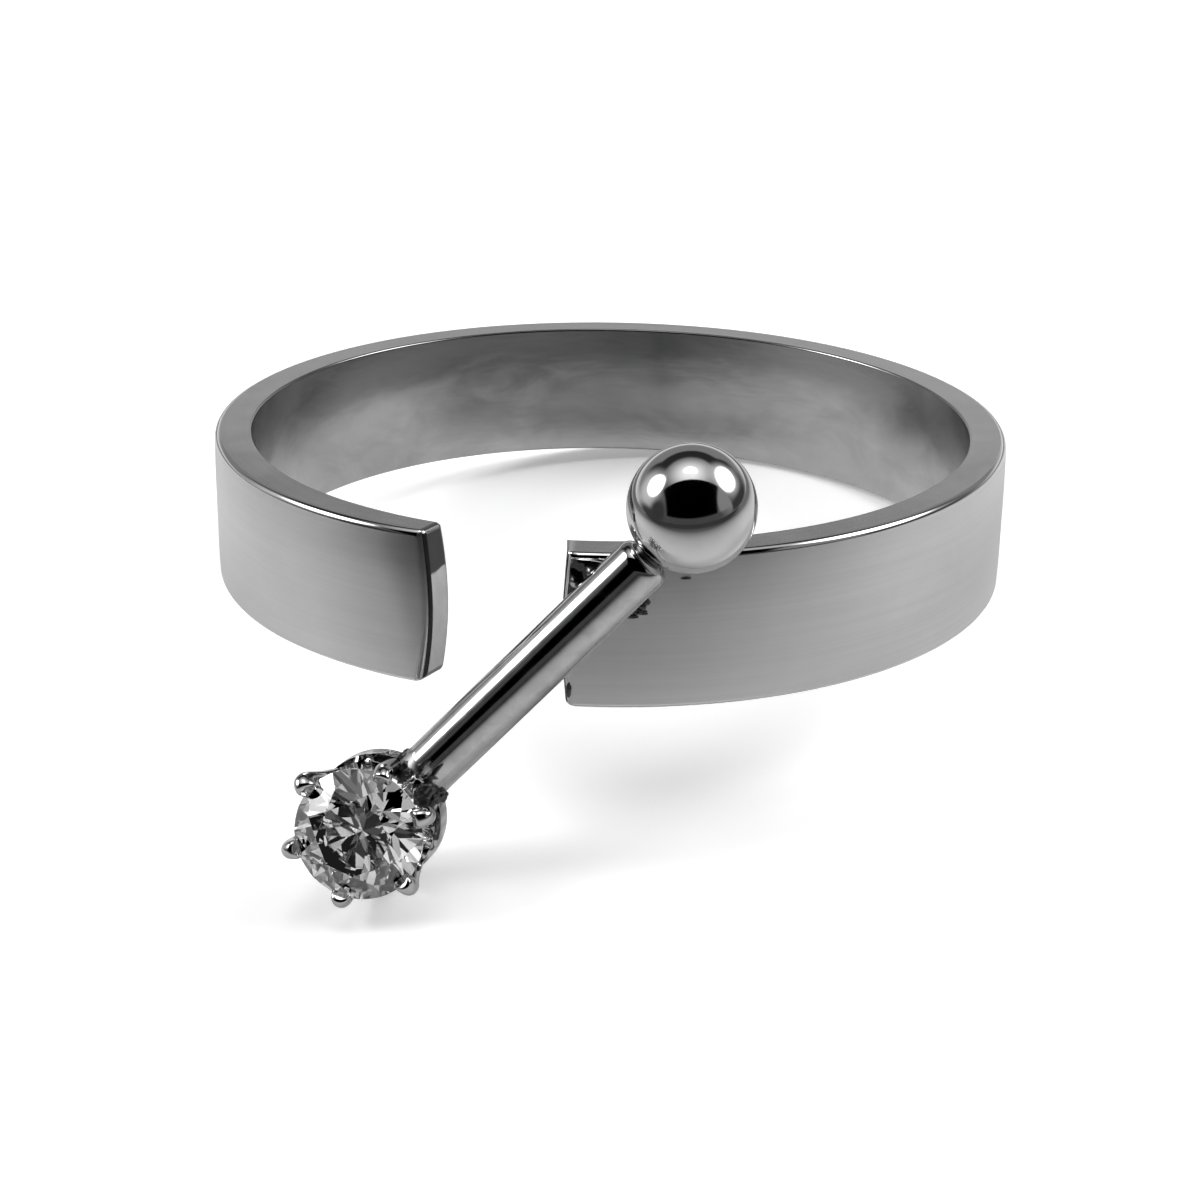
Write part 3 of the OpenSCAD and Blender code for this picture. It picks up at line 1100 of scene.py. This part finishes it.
# Soft lamps beside the camera that only the stone picks up, with the same columns
STONE_LAMPS = (
    ("lamp on the left", -32, 46, 11, 13, 2, 0.7, 0.8),
    ("lamp on the right", 30, 52, 12, 10, 2, 0.5, 1.0),
    ("lamp under the camera", 6, 14, 22, 6, 2, 0.5, 0.75),
    ("lamp over the camera", -4, 76, 40, 7, 2, 0.7, 0.95),
    ("lamp low on the right", 52, 22, 10, 12, 2, 0.5, 0.8),
    ("lamp low on the left", -58, 20, 9, 10, 2, 0.5, 0.75),
)
# Light from below and from above where there is no patch
LOWER_LIGHT = 0.5
UPPER_LIGHT = 0.15
# The dark opening in front: the directions that point further than this to the front, within
# this reach to the sides and above this rise, as parts of one, with the softness of its edge
OPENING_FRONT = 0.2
OPENING_SIDE = 0.71
OPENING_RISE = 0.16
OPENING_EDGE = 0.03


def studio():
    """Soft studio light from the patches; the camera itself sees a plain pale ground."""
    world = bpy.data.worlds.new("studio")
    bpy.context.scene.world = world
    world.use_nodes = True
    tree = world.node_tree
    split = add(tree, "SeparateXYZ", {0: add(tree, "TexCoord", {}).outputs["Generated"]})
    x, y, z = split.outputs
    front = calc(tree, "DEGREES", calc(tree, "ARCTAN2", x, times(tree, y, -1.0)))
    back = calc(tree, "WRAP", front, 360.0, 0.0)
    rise = calc(tree, "DEGREES", calc(tree, "ARCSINE", z))
    from_front = add(tree, "CombineXYZ", {0: front, 1: rise}).outputs[0]
    from_back = add(tree, "CombineXYZ", {0: back, 1: rise}).outputs[0]

    def with_patch(light, name, az, el, wide, high, square, soft, bright):
        near_back = abs(az) > 110
        az = az % 360 if near_back else az
        inputs = {0: from_back if near_back else from_front, 1: (1 / wide, 1 / high, 0),
                  2: (-az / wide, -el / high, 0)}
        reach = add(tree, "VectorMath", inputs, operation="MULTIPLY_ADD").outputs[0]
        if square == 4:
            reach = add(tree, "VectorMath", {0: reach, 1: reach}, operation="MULTIPLY").outputs[0]
        reach = add(tree, "VectorMath", {0: reach}, operation="LENGTH").outputs["Value"]
        power = square / 2
        mask = eased(tree, reach, 1.0, 0.0, (1 - soft) ** power, (1 + soft) ** power)
        return mixed(tree, mask, light, float(bright))

    above = calc(tree, "GREATER_THAN", z, 0.0)
    light = calc(tree, "MULTIPLY_ADD", above, UPPER_LIGHT - LOWER_LIGHT, LOWER_LIGHT)
    for patch in STUDIO:
        light = with_patch(light, *patch)
    aside = calc(tree, "ABSOLUTE", x)
    sunk = times(tree, z, -1.0)
    opening = calc(tree, "LESS_THAN", y, -OPENING_FRONT)
    for value, limit in ((aside, OPENING_SIDE), (sunk, -OPENING_RISE)):
        mask = eased(tree, value, 1.0, 0.0, limit - OPENING_EDGE, limit + OPENING_EDGE)
        opening = times(tree, opening, mask)
    light = times(tree, light, calc(tree, "SUBTRACT", 1.0, opening))
    lamps = light
    for patch in STONE_LAMPS:
        lamps = with_patch(lamps, *patch)
    path = add(tree, "LightPath", {})
    light = mixed(tree, path.outputs["Is Transmission Ray"], light, lamps)
    seen = mixed(tree, path.outputs["Is Camera Ray"], light, PALE_GROUND)
    put(tree, tree.nodes["Background"].inputs["Color"], seen)


def camera():
    """Camera at the photograph's angle, above the floor, with its place in millimetres."""
    place = Vector((2.147, -50.876, 30.559))
    right = Vector((0.99722, 0.0069, -0.07425))
    up = Vector((0.06077, 0.50184, 0.86282))
    data = bpy.data.cameras.new("camera")
    data.lens = 71.255
    data.sensor_width = 36
    data.clip_start = 1 * MM
    obj = bpy.data.objects.new("camera", data)
    bpy.context.scene.collection.objects.link(obj)
    back = right.cross(up)
    turn = Matrix((right, up, back)).transposed().to_4x4()
    obj.matrix_world = Matrix.Translation(place * MM) @ turn
    bpy.context.scene.camera = obj


camera()
studio()
floor()

# The brushed face takes painted shade towards its left end, down to 0.58 of its tone.
satin_silver = brushed(
    "brushed silver", tone=0.62, roughness=0.315, lines=13, line_depth=0.3 * MICRON,
    cloudy=0.035, painted_end_shade=0.58,
)
edge_silver = brushed(
    "brushed edge silver", tone=0.43, roughness=0.2, lines=8, line_depth=0.6 * MICRON,
    cloudy=0.17,
)
# Painted shade over the end faces from 2.56 mm up.
matt_end = filed_end("filed end", tone=0.85, roughness=0.5, painted_shade_from=2.56)
# The inner wall carries painted shade towards its top rim.
inner_silver = worn_inside_with_painted_shade("worn polished silver", tone=0.55, roughness=0.13)
bar_silver = stained_bar("drawn bar silver", tone=0.5, roughness=0.04, wear=0.08)
# Tone, roughness, wear and its depth
bright_silver = polished("polished silver", 0.62, 0.035, 0.05, 0.5 * MICRON)
solder_silver = polished("solder", 0.42, 0.08, 0.12, 4 * MICRON)
dark_solder = polished("dark solder", 0.1, 0.3, 0.15, 4 * MICRON)
# Painted shade: the dark line on the rounding of each end.
dark_line = polished("stained line", 0.045, 0.32, 0.1, 2 * MICRON)
setting_silver = polished(
    "cast setting silver", 0.52, 0.05, 0.08, 1 * MICRON, cloud_scale=2600, cloudy=0.1
)
clear = gem("clear stone")

strip = band((satin_silver, bright_silver, inner_silver, edge_silver, matt_end, dark_line))
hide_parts("soldered_ring")
soldered = [
    (bar(), bar_silver), (ball(), bright_silver), (neck(), dark_solder),
    (setting(), setting_silver),
]
for drop in [corner_solder()] + solder_drops():
    bright = drop.name in BRIGHT_SOLDER
    soldered.append((drop, solder_silver if bright else dark_solder))
for piece, finish in soldered:
    piece.data.materials.append(finish)
    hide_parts("soldered_ring")
jewel = stone()
jewel.data.materials.append(clear)
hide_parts("stone")

bpy.context.scene.view_settings.view_transform = "Standard"
